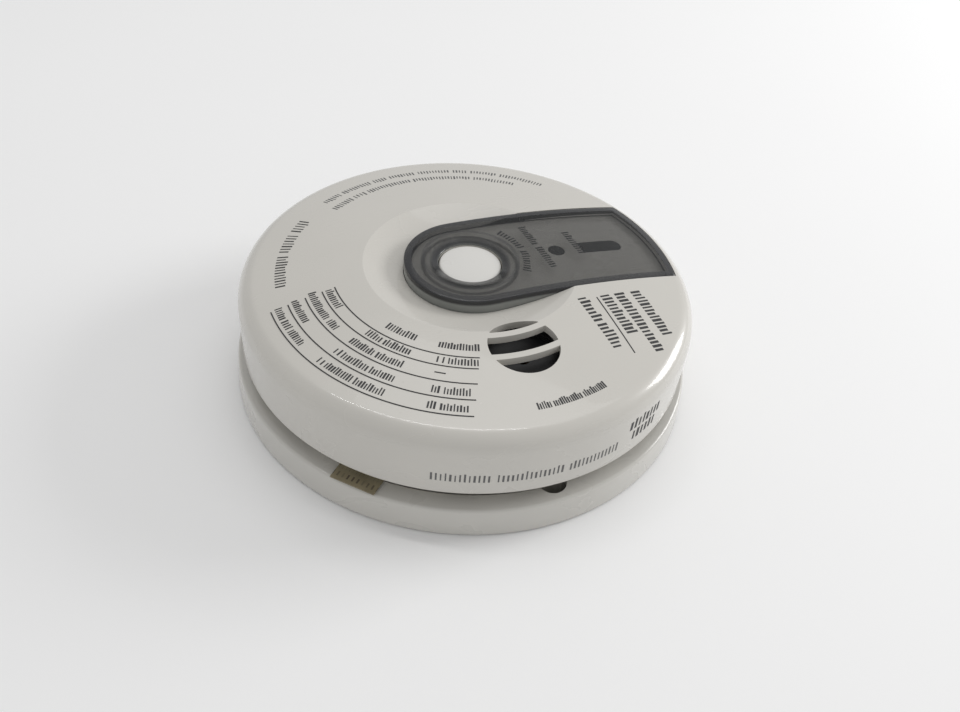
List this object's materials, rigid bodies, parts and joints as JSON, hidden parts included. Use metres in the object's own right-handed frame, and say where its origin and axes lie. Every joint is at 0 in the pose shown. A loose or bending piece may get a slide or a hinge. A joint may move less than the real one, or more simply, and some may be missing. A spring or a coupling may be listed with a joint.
{
  "type": "carbon monoxide detector",
  "caption": "Round battery carbon monoxide detector with a domed face, a grey light lens, a test button, a louvred horn opening and a twist-off wall bracket.",
  "frame": {"origin": "centre of the bracket's flat back face, on the axis of the round body", "axes": "+Z out of the wall through the middle of the face, +Y along the grey lens to the rim, +X from the centre to the horn opening"},
  "size_m": [0.127, 0.127, 0.0358],
  "materials": {
    "bracket_plastic": "warm white ABS, moulded satin",
    "housing_plastic": "warm white ABS, moulded satin",
    "cover_plastic": "warm white ABS, fine moulded gloss",
    "smoked_lens": "smoked grey acrylic, polished",
    "button_plastic": "white ABS, semi-gloss",
    "clear_plastic": "clear polycarbonate",
    "board_laminate": "green solder mask",
    "black_plastic": "black ABS",
    "switch_plastic": "brown nylon",
    "red_led": "tinted epoxy",
    "green_led": "tinted epoxy",
    "foam": "closed-cell foam",
    "brass": "rolled sheet",
    "piezo_ceramic": "fired ceramic, silvered",
    "tinned_pins": "tinned",
    "cell_steel": "drawn steel",
    "cell_cap": "white polymer",
    "chip_black": "moulded epoxy",
    "ferrite": "ferrite",
    "capacitor_can": "sleeved can",
    "chip_tan": "fired ceramic",
    "crystal_can": "plated can",
    "copper_wire": "enamelled copper",
    "spring_steel": "drawn wire",
    "battery_wrap": "plain printed sleeve",
    "contact_strip": "nickel plated",
    "amber_film": "polyimide film",
    "screw_steel": "zinc plated",
    "blank_label": "blank white label"
  },
  "bodies": {
    "bracket": {"mounting_bracket": "bracket_plastic"},
    "detector": {"rear_housing": "housing_plastic", "front_cover": "cover_plastic", "status_lens": "smoked_lens", "alarm_light_pipe": "clear_plastic", "status_light_pipe": "clear_plastic", "main_board": "board_laminate", "test_switch_body": "black_plastic", "alarm_led": "red_led", "status_led": "green_led", "sounder_gasket": "foam", "sounder_housing": "black_plastic", "piezo_disc": "brass", "piezo_ceramic": "piezo_ceramic", "sounder_cap": "black_plastic", "sounder_pins": "tinned_pins", "co_cell_can": "cell_steel", "co_cell_gasket": "foam", "co_cell_cap": "cell_cap", "co_cell_pins": "tinned_pins", "microcontroller": "chip_black", "horn_driver": "chip_black", "horn_transformer": "ferrite", "storage_capacitor": "capacitor_can", "chip_resistors": "chip_black", "chip_capacitors": "chip_tan", "crystal": "crystal_can", "radio_shield": "crystal_can", "wire_antenna": "copper_wire", "tamper_switch": "black_plastic", "battery": "battery_wrap", "battery_plus_contact": "contact_strip", "battery_minus_plate": "contact_strip", "battery_spring": "spring_steel", "housing_screws": "screw_steel", "board_screws": "screw_steel", "rating_label": "blank_label"},
    "test_button": {"test_button": "button_plastic"},
    "switch_plunger": {"test_switch_plunger": "switch_plastic"},
    "tamper_plunger": {"tamper_plunger": "button_plastic", "tamper_spring": "spring_steel"},
    "pull_tab": {"battery_pull_tab": "amber_film"}
  },
  "joints": [
    {"name": "bracket_twist", "type": "hinge", "parent": "bracket", "child": "detector", "pos_m": [0, 0, 0], "axis": [0, 0, 1], "range_deg": [0, 20]},
    {"name": "button_press", "type": "slide", "parent": "detector", "child": "test_button", "axis": [0, 0, -1], "range_m": [0, 0.0006], "stiffness_N_per_m": 1200, "springref_m": -0.0002},
    {"name": "switch_press", "type": "slide", "parent": "detector", "child": "switch_plunger", "axis": [0, 0, -1], "range_m": [0, 0.0006]},
    {"name": "tamper_release", "type": "slide", "parent": "detector", "child": "tamper_plunger", "axis": [0, 0, -1], "range_m": [0, 0.0012], "deforming": ["tamper_spring"]},
    {"name": "tab_pull", "type": "slide", "parent": "detector", "child": "pull_tab", "axis": [0.6756, -0.7373, 0], "range_m": [0, 0.038]}
  ],
  "couplings": [
    {"joint": "switch_press", "follows": "button_press", "ratio": 1},
    {"joint": "tamper_release", "follows": "bracket_twist", "m_per_rad": 0.003437}
  ]
}
